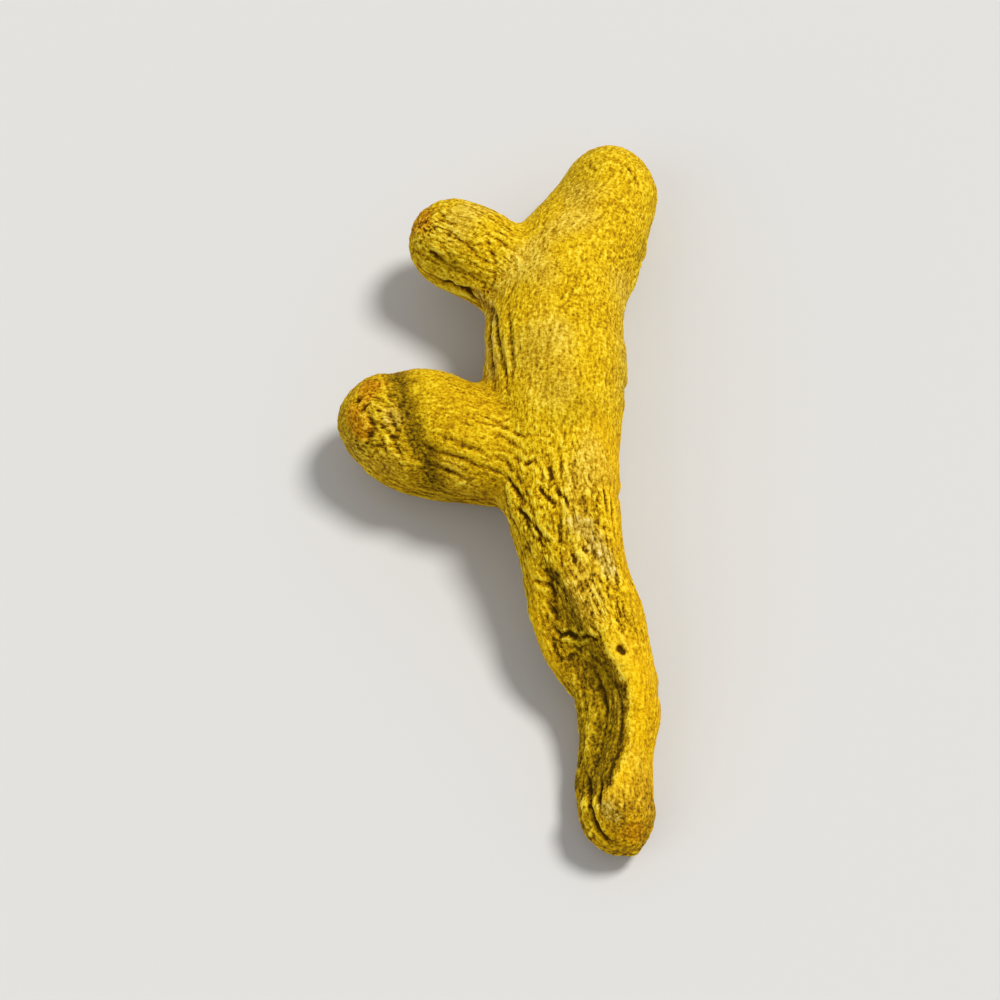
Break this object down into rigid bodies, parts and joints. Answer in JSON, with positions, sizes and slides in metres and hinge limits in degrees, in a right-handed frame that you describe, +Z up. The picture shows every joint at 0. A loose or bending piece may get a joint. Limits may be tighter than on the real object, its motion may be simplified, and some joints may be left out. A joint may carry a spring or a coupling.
{
  "type": "dried turmeric root",
  "caption": "Dried turmeric finger: a wrinkled, gently bent stem that narrows to a twisted tail, with two blunt side knobs, lying on its side.",
  "frame": {"origin": "centre of the root's bounding box, at the surface it rests on", "axes": "+Y along the root from its thin tail to its blunt head, +Z up from the surface, and the two side knobs point towards -X"},
  "size_m": [0.0276, 0.0658, 0.0118],
  "materials": {
    "turmeric_skin": "matte"
  },
  "bodies": {
    "root": {"turmeric_root": "turmeric_skin"}
  },
  "joints": []
}
